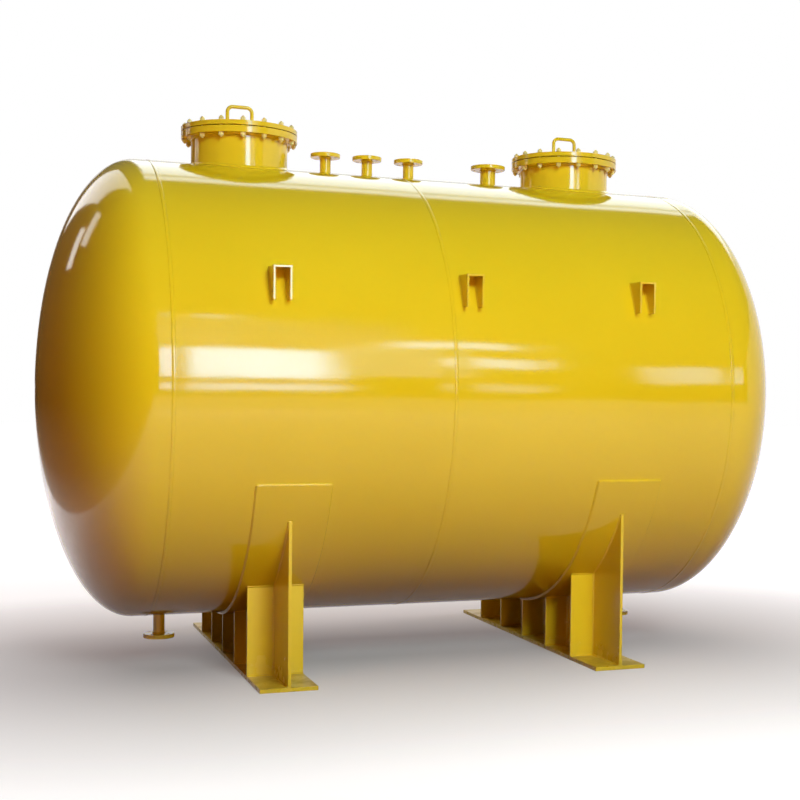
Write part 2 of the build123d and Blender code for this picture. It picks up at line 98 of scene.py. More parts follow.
def oriented(verts: np.ndarray, faces: np.ndarray) -> np.ndarray:
    """Turns all faces round if the closed surface has a negative signed volume.

    The volume is the sum over the faces' fans of a . (b x c) / 6.

    Args:
        verts: Points, one row each.
        faces: Corner numbers of quads, one row each.

    Returns:
        The faces, pointing outwards.
    """
    a, b, c, d = (verts[faces[:, n]] for n in range(4))
    volume = np.einsum("ij,ij->", a, np.cross(b, c)) + np.einsum("ij,ij->", a, np.cross(c, d))
    return faces if volume > 0.0 else faces[:, ::-1]


def closed_grid(rows: int, cols: int, ring_rows: bool) -> np.ndarray:
    """Quads of a rows by cols grid that closes along its columns, and along its rows if asked.

    Corner (r, c) is number r * cols + c, and the next row and column are taken modulo the grid.

    Args:
        rows: Number of points along the path.
        cols: Number of points round the profile.
        ring_rows: True if the path is a loop.

    Returns:
        Corner numbers, four to a row.
    """
    r, c = np.meshgrid(np.arange(rows if ring_rows else rows - 1), np.arange(cols), indexing="ij")
    r, c = r.ravel(), c.ravel()
    near, far, step = r * cols, (r + 1) % rows * cols, (c + 1) % cols
    return np.stack([near + c, far + c, far + step, near + step], axis=1)


def end_cap(first: int, cols: int, back: bool) -> np.ndarray:
    """Quads that fill one end ring by pairing corner k with corner cols - 1 - k.

    Args:
        first: Number of the ring's first corner.
        cols: Number of corners in the ring, an even count.
        back: True to wind the quads the other way.

    Returns:
        Corner numbers, four to a row.
    """
    k = np.arange(cols // 2 - 1)
    quads = np.stack([k, k + 1, cols - 2 - k, cols - 1 - k], axis=1) + first
    return quads[:, ::-1] if back else quads


def tube_faces(rows: int, cols: int, ring_rows: bool) -> np.ndarray:
    """Faces of a tube grid: a closed torus grid, or an open one with both ends filled.

    Args:
        rows: Number of points along the path.
        cols: Number of points round the profile, an even count.
        ring_rows: True if the path is a loop.

    Returns:
        Corner numbers, four to a row.
    """
    walls = closed_grid(rows, cols, ring_rows)
    if ring_rows:
        return walls
    ends = [end_cap(0, cols, False), end_cap((rows - 1) * cols, cols, True)]
    return np.concatenate([walls, *ends])


def repeated(template: Surface, places: np.ndarray) -> Surface:
    """Copies one template to many places: vertex + place, and face numbers shifted per copy.

    Args:
        template: Points and faces of one copy.
        places: Offsets, one row per copy.

    Returns:
        All points and all faces.
    """
    verts, faces = template
    points = (verts[None] + places[:, None]).reshape(-1, 3)
    shift = np.arange(len(places))[:, None, None] * len(verts)
    return points, (faces[None] + shift).reshape(-1, faces.shape[1])


def joined(parts: list[Surface]) -> Surface:
    """Joins surfaces into one, with each one's face numbers shifted by the points before it.

    Args:
        parts: Points and faces of each surface.

    Returns:
        All points and all faces.
    """
    counts = np.cumsum([0] + [len(verts) for verts, _ in parts[:-1]])
    verts = np.concatenate([verts for verts, _ in parts])
    return verts, np.concatenate([faces + count for (_, faces), count in zip(parts, counts)])


def add_piece(name: str, surface: Surface, finish: Material) -> bpy.types.Object:
    """Makes a smooth-shaded piece of the object at the origin and lets it ride the tank.

    Args:
        name: Piece name.
        surface: Points in the tank's frame, and faces.
        finish: Its material.

    Returns:
        The new object.
    """
    verts, faces = surface
    mesh = bpy.data.meshes.new(name)
    mesh.from_pydata(verts.tolist(), [], faces.tolist())
    mesh.polygons.foreach_set("use_smooth", np.ones(len(faces), dtype=bool))
    mesh.set_sharp_from_angle(angle=SHARP_EDGE)
    mesh.materials.append(finish)
    mesh.update()
    piece = bpy.data.objects.new(name, mesh)
    bpy.context.scene.collection.objects.link(piece)
    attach(piece, BODY)
    log.info("piece %s: %d points, %d faces", name, len(verts), len(faces))
    return piece


def dress_nodes(names: list[str], finish: Material) -> None:
    """Gives CAD nodes a finish through their own material slots.

    Args:
        names: CAD node names.
        finish: The material.
    """
    for name in names:
        for place in NODES[name].material_slots:
            place.material = finish
        log.info("node %s wears %s", name, finish.name)


# Weld beads


@dataclass(frozen=True)
class Bead:
    """A weld bead: a small profile carried along a path, with a faint ripple.

    The ripple, root and crown are shares of the leg, and the pitch is the ripple's length.
    """

    leg: float
    ripple: float = 0.05
    pitch: float = 0.009
    root: float = 0.15
    crown: float = 0.10
    face_points: int = 5
    seam_points: int = 12

    def fillet_profile(self) -> np.ndarray:
        """Profile of a corner weld in leg units.

        The face is (1 - s + crown * sin(pi s), s + crown * sin(pi s)) for s from 0 to 1, and the
        root lies buried in the corner.

        Returns:
            (u, v) pairs, one row each.
        """
        s = np.linspace(0.0, 1.0, self.face_points)
        bulge = self.crown * np.sin(np.pi * s)
        face = np.stack([1.0 - s + bulge, s + bulge], axis=1)
        buried = np.array([[-self.root, 1.0], [-self.root, -self.root], [1.0, -self.root]])
        return np.concatenate([face, buried])

    def butt_profile(self, height_share: float) -> np.ndarray:
        """Profile of a seam weld in half-width units: u = cos t, v = height_share * sin t."""
        t = np.linspace(0.0, TURN, self.seam_points, endpoint=False)
        return np.stack([np.cos(t), height_share * np.sin(t)], axis=1)

    def along(self, path: np.ndarray, first: Side, second: Side, profile: np.ndarray, loop: bool) -> Surface:
        """Carries a profile along a path.

        Point = path + leg * swell * (u * first + v * second), where swell is
        1 + ripple * sin(2 pi s / pitch) for the arc length s.

        Args:
            path: Points along the joint.
            first: Direction of the profile's u, one for all points or one for each.
            second: Direction of the profile's v, likewise.
            profile: (u, v) pairs.
            loop: True if the path closes on itself.

        Returns:
            Points and outward quads.
        """
        first, second = (np.broadcast_to(np.asarray(side), path.shape) for side in (first, second))
        steps = np.linalg.norm(np.diff(path, axis=0), axis=1)
        length = np.concatenate([[0.0], np.cumsum(steps)])
        swell = 1.0 + self.ripple * np.sin(TURN * length / self.pitch)
        across = profile[None, :, :1] * first[:, None] + profile[None, :, 1:] * second[:, None]
        verts = (path[:, None] + self.leg * swell[:, None, None] * across).reshape(-1, 3)
        return verts, oriented(verts, tube_faces(len(path), len(profile), loop))

    def corner(self, path: np.ndarray, first: Side, second: Side, loop: bool = False) -> Surface:
        """Carries the corner weld's profile along a joint between two directions."""
        return self.along(path, first, second, self.fillet_profile(), loop)


def line(start: Side, stop: Side, step: float) -> np.ndarray:
    """Points from start to stop: start + t * (stop - start) for t from 0 to 1.

    Args:
        start: First point.
        stop: Last point.
        step: About how far the points are apart.

    Returns:
        Points, one row each.
    """
    a, b = np.array(start), np.array(stop)
    count = max(int(np.linalg.norm(b - a) / step), 2)
    return a + np.linspace(0.0, 1.0, count)[:, None] * (b - a)


def ring_angles(pipe: float) -> np.ndarray:
    """Angles round a pipe, about a ring step apart along its wall, and no fewer than the least count."""
    return np.linspace(0.0, TURN, max(int(TURN * pipe / RING_STEP), RING_LEAST), endpoint=False)


def ring_bead(centre: float, pipe: float, height: float, facing: Facing, ring: Ring, bead: Bead) -> Surface:
    """Corner bead round a pipe where it enters the back of its flange, or on its end inside the flange.

    Path: (centre + p cos t, p sin t, height). At the back, the first leg runs out under the flange
    and the second one along the pipe, away from the flange. In the mouth, the first leg runs
    inwards over the pipe's end and the second one along the flange's bore towards its face.

    Args:
        centre: Pipe centre along X.
        pipe: Pipe radius.
        height: Height of the flange's back, or of the pipe's end.
        facing: Which way the flange looks.
        ring: At the back or in the mouth.
        bead: The bead's sizes.

    Returns:
        Points and faces.
    """
    t = ring_angles(pipe)
    out = np.stack([np.cos(t), np.sin(t), np.zeros_like(t)], axis=1)
    path = np.array([centre, 0.0, height]) + pipe * out
    return bead.corner(path, ring.value * out, (0.0, 0.0, -ring.value * facing.value), True)


# Finishes


class Nodes:
    """A short hand for laying out the nodes of a material or of the world."""

    UNDER_COLOUR = 6
    OVER_COLOUR = 7
    MIXED_COLOUR = 2

    def __init__(self, block: Material | bpy.types.World) -> None:
        """Starts an empty tree with its output and its coordinates.

        Args:
            block: A new material or world.
        """
        self.block = block
        self.block.use_nodes = True
        self.tree = block.node_tree
        self.tree.nodes.clear()
        kind = "World" if isinstance(block, bpy.types.World) else "Material"
        self.out = self.tree.nodes.new(f"ShaderNodeOutput{kind}")
        self.coords = self.tree.nodes.new("ShaderNodeTexCoord")

    def add(self, kind: str, **values: object) -> bpy.types.Node:
        """Adds a node and sets its plain properties.

        Args:
            kind: The node's type.
            values: Its properties by name.

        Returns:
            The new node.
        """
        node = self.tree.nodes.new(kind)
        for key, value in values.items():
            setattr(node, key, value)
        return node

    def join(self, source: Socket, target: Socket) -> None:
        """Links two sockets."""
        self.tree.links.new(source, target)

    def axes(self, source: Socket) -> bpy.types.NodeOutputs:
        """Splits a vector into X, Y and Z.

        Args:
            source: The vector.

        Returns:
            The three outputs by name.
        """
        node = self.add("ShaderNodeSeparateXYZ")
        self.join(source, node.inputs["Vector"])
        return node.outputs

    def noise(self, scale: float, detail: float, roughness: float = 0.5) -> Socket:
        """Noise on Object coordinates.

        Args:
            scale: Waves per metre.
            detail: Octaves.
            roughness: Weight of the finer octaves.

        Returns:
            The grey output.
        """
        node = self.add("ShaderNodeTexNoise")
        node.inputs["Scale"].default_value = scale
        node.inputs["Detail"].default_value = detail
        node.inputs["Roughness"].default_value = roughness
        self.join(self.coords.outputs["Object"], node.inputs["Vector"])
        return node.outputs["Fac"]

    def spread(self, source: Socket, band: Span, target: Span = (0.0, 1.0)) -> Socket:
        """Maps a range of a grey value to another range, clamped.

        Args:
            source: The grey value.
            band: Its range that counts.
            target: What the range's two ends become.

        Returns:
            The mapped value.
        """
        node = self.add("ShaderNodeMapRange")
        for key, value in zip(("From Min", "From Max", "To Min", "To Max"), (*band, *target)):
            node.inputs[key].default_value = value
        self.join(source, node.inputs["Value"])
        return node.outputs["Result"]

    def math(self, operation: str, first: Socket, second: Socket | float = 0.0) -> Socket:
        """Combines a grey value with another one or with a number.

        Args:
            operation: The sum to do.
            first: The grey value.
            second: The other value, which a sum on one value leaves unused.

        Returns:
            The outcome.
        """
        node = self.add("ShaderNodeMath", operation=operation)
        self.join(first, node.inputs[0])
        if isinstance(second, (int, float)):
            node.inputs[1].default_value = second
        else:
            self.join(second, node.inputs[1])
        return node.outputs["Value"]

    def ramp(self, source: Socket, stops: tuple[tuple[float, Vec3], ...]) -> Socket:
        """Maps a grey value to colours at given stops.

        Args:
            source: The grey value.
            stops: Places from 0 to 1, each with its colour.

        Returns:
            The colour.
        """
        node = self.add("ShaderNodeValToRGB")
        spots = node.color_ramp.elements
        given = len(spots)
        for count, (place, colour) in enumerate(stops):
            spot = spots[count] if count < given else spots.new(place)
            spot.position = place
            spot.color = (*colour, 1.0)
        self.join(source, node.inputs["Fac"])
        return node.outputs["Color"]

    def blend(self, amount: Socket, under: Socket, colour: Vec3) -> Socket:
        """Lays a colour over another one by an amount that varies over the surface.

        Args:
            amount: How much of the colour, from 0 to 1.
            under: The colour beneath.
            colour: The colour laid on.

        Returns:
            The mixed colour.
        """
        node = self.add("ShaderNodeMix", data_type="RGBA")
        self.join(amount, node.inputs["Factor"])
        self.join(under, node.inputs[self.UNDER_COLOUR])
        node.inputs[self.OVER_COLOUR].default_value = (*colour, 1.0)
        return node.outputs[self.MIXED_COLOUR]

    def bump(self, height: Socket, depth: float, under: Socket | None = None) -> Socket:
        """Adds a bump over an earlier normal.

        Args:
            height: The grey height.
            depth: Metres between height 0 and 1.
            under: The earlier normal, if there is one.

        Returns:
            The bumped normal.
        """
        node = self.add("ShaderNodeBump")
        node.inputs["Strength"].default_value = 1.0
        node.inputs["Distance"].default_value = depth
        self.join(height, node.inputs["Height"])
        if under is not None:
            self.join(under, node.inputs["Normal"])
        return node.outputs["Normal"]

    def pick(self, amount: Socket, none: Socket, full: Socket) -> Socket:
        """Mixes two shaders.

        Args:
            amount: 0 for the first shader, 1 for the second one.
            none: The first shader.
            full: The second shader.

        Returns:
            The mixed shader.
        """
        node = self.add("ShaderNodeMixShader")
        self.join(amount, node.inputs["Fac"])
        self.join(none, node.inputs[1])
        self.join(full, node.inputs[2])
        return node.outputs["Shader"]

    def plain_rays(self) -> Socket:
        """Tells rays that show a background from bounced light.

        Returns:
            1 for rays from the camera, from gloss and through glass, 0 for bounced light.
        """
        rays = self.add("ShaderNodeLightPath").outputs
        seen = self.math("MAXIMUM", rays["Is Camera Ray"], rays["Is Glossy Ray"])
        return self.math("MAXIMUM", seen, rays["Is Transmission Ray"])

    def finish(self, shader: Socket) -> Material | bpy.types.World:
        """Ends the material or the world on a shader and hands it back."""
        self.join(shader, self.out.inputs["Surface"])
        return self.block


@dataclass(frozen=True)
class Enamel:
    """Sprayed gloss enamel: colour drift, orange peel, plate waves, soft edges, and settled dust that also
    stands as painted shade near the ground.

    Scales are waves per metre, and noise_band is the share of a noise's range that counts.
    """

    name: str
    deep: Vec3
    light: Vec3
    drift_scale: float
    gloss: Span
    peel_scale: float
    peel_depth: float
    wave_scale: float = 1.6
    wave_depth: float = 0.0
    seams: tuple[float, ...] = ()
    seam_width: float = 0.07
    seam_depth: float = 0.0012
    edge_radius: float = 0.0
    edge_samples: int = 4
    noise_band: Span = (0.3, 0.7)
    haze_finer: float = 5.0
    index: float = 1.5
    dust_and_shade: Vec3 = (0.20, 0.13, 0.055)
    dust_and_shade_top: float = 0.0
    dust_and_shade_amount: float = 0.0
    dust_lies_on: Span = (0.55, 0.95)
    dust_patch_band: Span = (0.32, 0.68)
    dust_patch: Span = (0.35, 1.0)
    dust_dulls: float = 0.5
    splash_and_shade_power: float = 3.0
    splash_and_shade_share: float = 0.45

    def pulled_seams(self, nodes: Nodes) -> Socket:
        """Height of the plate where seam welds pull it in: minus the sum of 1 / (1 + (dx / width)^2).

        Args:
            nodes: The material's nodes.

        Returns:
            The grey height.
        """
        x = nodes.axes(nodes.coords.outputs["Object"])["X"]
        total = None
        for seam in self.seams:
            away = nodes.math("MULTIPLY", nodes.math("SUBTRACT", x, seam), 1.0 / self.seam_width)
            hill = nodes.math("ADD", nodes.math("MULTIPLY", away, away), 1.0)
            dip = nodes.math("POWER", hill, -1.0)
            total = dip if total is None else nodes.math("ADD", total, dip)
        return nodes.math("MULTIPLY", total, -1.0)

    def dusted_and_shaded(self, nodes: Nodes, colour: Socket) -> tuple[Socket, Socket]:
        """Lays darker brown dust and painted shade on faces that look up and lie low, and on a band near the
        ground, part splash and part painted shade.

        Amount = patches * max(level * low, splash-and-shade share * low^power), where level grows with the
        normal's Z and low falls from 1 at the ground to 0 at the mark's top.

        Args:
            nodes: The material's nodes.
            colour: The clean paint colour.

        Returns:
            The colour with dust and painted shade laid on, and their amount.
        """
        look = nodes.axes(nodes.coords.outputs["Normal"])["Z"]
        height = nodes.axes(nodes.coords.outputs["Object"])["Z"]
        level = nodes.spread(look, self.dust_lies_on)
        low = nodes.spread(height, (0.0, self.dust_and_shade_top), (1.0, 0.0))
        grain = nodes.noise(scale=9.0, detail=6.0, roughness=0.62)
        patch = nodes.spread(grain, self.dust_patch_band, self.dust_patch)
        splash_and_shade = nodes.math("MULTIPLY", nodes.math("POWER", low, self.splash_and_shade_power), self.splash_and_shade_share)
        lying = nodes.math("MAXIMUM", nodes.math("MULTIPLY", level, low), splash_and_shade)
        amount = nodes.math("MULTIPLY", nodes.math("MULTIPLY", lying, patch), self.dust_and_shade_amount)
        return nodes.blend(amount, colour, self.dust_and_shade), amount

    def surface_normal(self, nodes: Nodes) -> Socket:
        """Softens plate edges, then adds plate waves, pulled seams and orange peel.

        Args:
            nodes: The material's nodes.

        Returns:
            The normal.
        """
        normal = None
        if self.edge_radius > 0.0:
            soft = nodes.add("ShaderNodeBevel", samples=self.edge_samples)
            soft.inputs["Radius"].default_value = self.edge_radius
            normal = soft.outputs["Normal"]
        if self.wave_depth > 0.0:
            normal = nodes.bump(nodes.noise(self.wave_scale, detail=1.0), self.wave_depth, normal)
        if self.seams:
            normal = nodes.bump(self.pulled_seams(nodes), self.seam_depth, normal)
        return nodes.bump(nodes.noise(self.peel_scale, detail=2.0), self.peel_depth, normal)

    def material(self) -> Material:
        """Builds the enamel's node material.

        Returns:
            The material.
        """
        nodes = Nodes(bpy.data.materials.new(self.name))
        paint = nodes.add("ShaderNodeBsdfPrincipled")
        drift = nodes.spread(nodes.noise(self.drift_scale, detail=3.0), self.noise_band)
        colour = nodes.ramp(drift, ((0.0, self.deep), (1.0, self.light)))
        mist = nodes.noise(self.drift_scale * self.haze_finer, detail=5.0, roughness=0.6)
        haze = nodes.spread(mist, self.noise_band, self.gloss)
        if self.dust_and_shade_amount > 0.0:
            colour, amount = self.dusted_and_shaded(nodes, colour)
            haze = nodes.math("ADD", haze, nodes.math("MULTIPLY", amount, self.dust_dulls))
        paint.inputs["IOR"].default_value = self.index
        nodes.join(colour, paint.inputs["Base Color"])
        nodes.join(haze, paint.inputs["Roughness"])
        nodes.join(self.surface_normal(nodes), paint.inputs["Normal"])
        return nodes.finish(paint.outputs["BSDF"])


@dataclass(frozen=True)
class Rubber:
    """Dull black sheet rubber with a slightly grey grain."""

    name: str = "gasket_sheet_rubber"
    shades: tuple[tuple[float, Vec3], ...] = ((0.35, (0.014, 0.013, 0.012)), (0.7, (0.05, 0.046, 0.04)))
    grain_band: Span = (0.3, 0.7)
    gloss: Span = (0.65, 0.85)
    grain_depth: float = 0.0004

    def material(self) -> Material:
        """Builds the rubber's node material.

        Returns:
            The material.
        """
        nodes = Nodes(bpy.data.materials.new(self.name))
        skin = nodes.add("ShaderNodeBsdfPrincipled")
        grain = nodes.noise(scale=160.0, detail=4.0, roughness=0.6)
        nodes.join(nodes.ramp(grain, self.shades), skin.inputs["Base Color"])
        nodes.join(nodes.spread(grain, self.grain_band, self.gloss), skin.inputs["Roughness"])
        nodes.join(nodes.bump(grain, self.grain_depth), skin.inputs["Normal"])
        return nodes.finish(skin.outputs["BSDF"])


@dataclass
class Finishes:
    """All finishes of the tank, made once."""

    shell: Material = field(init=False)
    saddle: Material = field(init=False)
    fitting: Material = field(init=False)
    bolting: Material = field(init=False)
    gasket: Material = field(init=False)

    def __post_init__(self) -> None:
        """Builds the materials: the shell's deep gloss, duller coats elsewhere, and the rubber."""
        self.shell = Enamel(
            name="shell_gloss_enamel",
            deep=(0.78, 0.545, 0.010),
            light=(0.82, 0.58, 0.013),
            drift_scale=0.9,
            gloss=(0.06, 0.11),
            peel_scale=240.0,
            peel_depth=0.00006,
            wave_depth=0.004,
            seams=RING_SEAMS,
            edge_radius=0.003,
        ).material()
        self.saddle = Enamel(
            name="saddle_enamel_coat",
            deep=(0.77, 0.53, 0.012),
            light=(0.82, 0.575, 0.016),
            drift_scale=1.8,
            gloss=(0.14, 0.26),
            peel_scale=180.0,
            peel_depth=0.00008,
            wave_depth=0.002,
            edge_radius=0.004,
            # Dust and painted shade: the saddle darkens to brown on low upward faces and near the ground.
            dust_and_shade_top=0.35,
            dust_and_shade_amount=0.65,
        ).material()
        self.fitting = Enamel(
            name="fitting_enamel_coat",
            deep=(0.77, 0.54, 0.016),
            light=(0.82, 0.58, 0.022),
            drift_scale=3.0,
            gloss=(0.06, 0.13),
            peel_scale=220.0,
            peel_depth=0.00007,
            edge_radius=0.003,
        ).material()
        # Painted light: a paler, creamier copy of the yellow enamel, so studs, nuts and washers look lit.
        self.bolting = Enamel(
            name="bolting_paler_enamel_painted_light",
            deep=(0.78, 0.64, 0.2),
            light=(0.86, 0.76, 0.4),
            drift_scale=24.0,
            gloss=(0.22, 0.4),
            peel_scale=420.0,
            peel_depth=0.00005,
        ).material()
        self.gasket = Rubber().material()


# The tank


@dataclass(frozen=True)
class TankShell:
    """Two rolled courses and two dished heads with their ring seams."""

    radius: float = SHELL_RADIUS
    axis_height: float = AXIS_HEIGHT
    seams: tuple[float, ...] = RING_SEAMS
    seam_names: tuple[str, ...] = ("left_head_seam", "middle_seam", "right_head_seam")
    seam_bead: Bead = Bead(leg=0.009, ripple=0.04, pitch=0.016)
    seam_height_share: float = 0.15
    seam_steps: int = 1440

    def build(self, finishes: Finishes) -> None:
        """Lays a flat seam bead round each joint of the shell.

        Path: (seam, r cos t, axis + r sin t); the profile lies across X and along the radius.

        Args:
            finishes: The tank's finishes.
        """
        t = np.linspace(0.0, TURN, self.seam_steps, endpoint=False)
        out = np.stack([np.zeros_like(t), np.cos(t), np.sin(t)], axis=1)
        profile = self.seam_bead.butt_profile(self.seam_height_share)
        for name, seam in zip(self.seam_names, self.seams):
            path = np.array([seam, 0.0, self.axis_height]) + self.radius * out
            weld = self.seam_bead.along(path, (1.0, 0.0, 0.0), out, profile, True)
            add_piece(name, weld, finishes.shell)

    def dress(self, finishes: Finishes) -> None:
        """Paints the courses and heads."""
        dress_nodes(["shell_course_left", "shell_course_right", "head_left", "head_right"], finishes.shell)

    def around_pipe(self, centre: float, pipe: float, facing: Facing, bead: Bead) -> Surface:
        """Corner bead where an upright pipe meets the shell.

        Path: (centre + p cos t, p sin t, axis +- sqrt(r^2 - p^2 sin^2 t)). The first leg runs out
        along the shell, the second one along the pipe.

        Args:
            centre: Pipe centre along X.
            pipe: Pipe radius.
            facing: Up through the crown or down through the low line.
            bead: The bead's sizes.

        Returns:
            Points and faces.
        """
        t = ring_angles(pipe)
        x, y = pipe * np.cos(t), pipe * np.sin(t)
        rise = np.sqrt(self.radius**2 - y**2)
        path = np.stack([centre + x, y, self.axis_height + facing.value * rise], axis=1)
        slope = -facing.value * y / rise * np.sin(t)
        out = np.stack([np.cos(t), np.sin(t), slope], axis=1)
        out /= np.linalg.norm(out, axis=1)[:, None]
        return bead.corner(path, out, (0.0, 0.0, facing.value), True)


@dataclass(frozen=True)
class Bolting:
    """Stud bolt with a nut and a washer at each end."""

    stud_radius: float = 0.008
    stud_points: int = 16
    thread_depth: float = 0.0010
    thread_pitch: float = 0.002
    thread_length: float = 0.034
    rows_per_thread: int = 3
    tip: float = 0.004
    tip_share: float = 0.45
    standing_out: float = 0.008
    nut_flats: float = 0.024
    nut_height: float = 0.014
    nut_bore: float = 0.0081
    nut_points: int = 36
    nut_edges: Span = (0.0003, 0.0014)
    chamfer_start: float = 0.0116
    chamfer_angle: float = 60.0
    washer_radius: float = 0.015
    washer_height: float = 0.003
    washer_edge: float = 0.0006
    washer_points: int = 28

    @property
    def stack(self) -> float:
        """Height of a washer with a nut on it."""
        return self.washer_height + self.nut_height

    @staticmethod
    def turned(a: np.ndarray, radius: np.ndarray, level: np.ndarray) -> Surface:
        """Closed ring (r cos a, r sin a, z).

        Args:
            a: Angles round the ring.
            radius: Radius per angle and profile point.
            level: Height per profile point.

        Returns:
            Points and faces.
        """
        x, y = radius * np.cos(a)[:, None], radius * np.sin(a)[:, None]
        verts = np.stack([x, y, np.broadcast_to(level, radius.shape)], axis=2).reshape(-1, 3)
        return verts, oriented(verts, tube_faces(len(a), radius.shape[1], True))

    def nut(self) -> Surface:
        """Hexagon nut standing on z = 0.

        r(a) = flats / 2 / cos(a folded to +-30 degrees), cut by 30 degree cones at both faces,
        and closed through the bore.

        Returns:
            Points and faces of one nut.
        """
        a = np.linspace(0.0, TURN, self.nut_points, endpoint=False)
        flat = np.pi / 3.0
        fold = (a + flat / 2.0) % flat - flat / 2.0
        hexagon = self.nut_flats / 2.0 / np.cos(fold)
        height, edges = self.nut_height, np.array(self.nut_edges)
        z = np.concatenate([[0.0], edges, height - edges[::-1], [height]])
        cone = self.chamfer_start + np.minimum(z, height - z) * np.tan(np.radians(self.chamfer_angle))
        wall = np.minimum(hexagon[:, None], cone[None])
        bore = np.full((len(a), 2), self.nut_bore)
        radius = np.concatenate([wall, bore], axis=1)
        return self.turned(a, radius, np.concatenate([z, [height, 0.0]]))

    def washer(self) -> Surface:
        """Flat ring standing on z = 0, with its outer corners cut by the edge size.

        Returns:
            Points and faces of one washer.
        """
        a = np.linspace(0.0, TURN, self.washer_points, endpoint=False)
        edge, height, rim = self.washer_edge, self.washer_height, self.washer_radius
        radius = np.array([rim - edge, rim, rim, rim - edge, self.nut_bore, self.nut_bore])
        level = np.array([0.0, edge, height - edge, height, height, 0.0])
        return self.turned(a, np.tile(radius, (len(a), 1)), level)

    def stud(self, low: float, high: float) -> Surface:
        """Threaded rod from low to high with conical tips.

        r = stud radius - depth * |2 frac(z / pitch - a / turn) - 1|, limited at both tips by a cone
        that starts at the tip share of the stud radius.

        Args:
            low: Lower end.
            high: Upper end.

        Returns:
            Points and faces of one stud.
        """
        a = np.linspace(0.0, TURN, self.stud_points, endpoint=False)
        ends = np.arange(0.0, self.thread_length, self.thread_pitch / self.rows_per_thread)
        z = np.concatenate([low + ends, high - ends[::-1]])
        groove = np.abs(2.0 * ((z[:, None] / self.thread_pitch - a[None] / TURN) % 1.0) - 1.0)
        near_tip = np.minimum(z - low, high - z)[:, None]
        cone = self.tip_share + near_tip / self.tip * (1.0 - self.tip_share)
        radius = np.minimum(self.stud_radius - self.thread_depth * groove, self.stud_radius * cone)
        level = np.broadcast_to(z[:, None], radius.shape)
        verts = np.stack([radius * np.cos(a), radius * np.sin(a), level], axis=2).reshape(-1, 3)
        return verts, oriented(verts, tube_faces(len(z), len(a), False))


@dataclass(frozen=True)
class Manway:
    """Bolted manway: neck, flange, gasket, cover and bar handle, with its studs and welds."""

    side: str
    centre: float
    flange_back: float
    cover_top: float
    neck_radius: float = 0.26
    bolt_radius: float = 0.2925
    bolt_count: int = 16
    bolt_turn: float = -97.0
    neck_bead: Bead = Bead(leg=0.011)
    back_bead: Bead = Bead(leg=0.009)
    bolting: Bolting = Bolting()

    def bolt_places(self) -> np.ndarray:
        """Stud centres (centre + b cos a, b sin a, 0), as drilled in the flange.

        Returns:
            Centres, one row each.
        """
        a = np.radians(self.bolt_turn) + TURN * np.arange(self.bolt_count) / self.bolt_count
        flat = np.stack([np.cos(a), np.sin(a), np.zeros_like(a)], axis=1)
        return self.bolt_radius * flat + np.array([self.centre, 0.0, 0.0])

    def build(self, finishes: Finishes, shell: TankShell) -> None:
        """Adds studs, nuts, washers and the neck's welds.

        Args:
            finishes: The tank's finishes.
            shell: The shell that the neck stands on.
        """
        bolting, places = self.bolting, self.bolt_places()
        name = f"manway_{self.side}"
        low = self.flange_back - bolting.stack - bolting.standing_out
        high = self.cover_top + bolting.stack + bolting.standing_out
        studs = repeated(bolting.stud(low, high), places)
        add_piece(f"{name}_studs", studs, finishes.bolting)
        levels = {
            "nuts": (bolting.nut(), self.cover_top + bolting.washer_height, self.flange_back - bolting.stack),
            "washers": (bolting.washer(), self.cover_top, self.flange_back - bolting.washer_height),
        }
        for kind, (template, above, below) in levels.items():
            rows = np.concatenate([places + np.array([0.0, 0.0, level]) for level in (above, below)])
            add_piece(f"{name}_{kind}", repeated(template, rows), finishes.bolting)
        foot = shell.around_pipe(self.centre, self.neck_radius, Facing.UP, self.neck_bead)
        back = ring_bead(
            self.centre, self.neck_radius, self.flange_back, Facing.UP, Ring.BACK, self.back_bead
        )
        add_piece(f"{name}_welds", joined([foot, back]), finishes.fitting)

    def dress(self, finishes: Finishes) -> None:
        """Paints the manway and blackens its gasket.

        Args:
            finishes: The tank's finishes.
        """
        parts = [f"manway_{self.side}_{part}" for part in ("neck", "flange", "cover", "handle")]
        dress_nodes(parts, finishes.fitting)
        dress_nodes([f"manway_{self.side}_gasket"], finishes.gasket)


@dataclass(frozen=True)
class Nozzle:
    """Flanged pipe stub through the shell."""

    name: str
    centre: float
    pipe_radius: float = 0.03015
    flange_back: float = 2.773
    facing: Facing = Facing.UP
    bead: Bead = Bead(leg=0.006)
    mouth_bead: Bead = Bead(leg=0.0035)
    mouth_depth: float = 0.017

    def build(self, finishes: Finishes, shell: TankShell) -> None:
        """Adds the welds at the shell, behind the flange and inside its bore.

        Args:
            finishes: The tank's finishes.
            shell: The shell that the stub goes through.
        """
        pipe, facing = self.pipe_radius, self.facing
        pipe_end = self.flange_back + facing.value * self.mouth_depth
        foot = shell.around_pipe(self.centre, pipe, facing, self.bead)
        back = ring_bead(self.centre, pipe, self.flange_back, facing, Ring.BACK, self.bead)
        mouth = ring_bead(self.centre, pipe, pipe_end, facing, Ring.MOUTH, self.mouth_bead)
        add_piece(f"{self.name}_welds", joined([foot, back, mouth]), finishes.fitting)

    def dress(self, finishes: Finishes) -> None:
        """Paints the stub and its flange."""
        dress_nodes([f"{self.name}_neck", f"{self.name}_flange"], finishes.fitting)


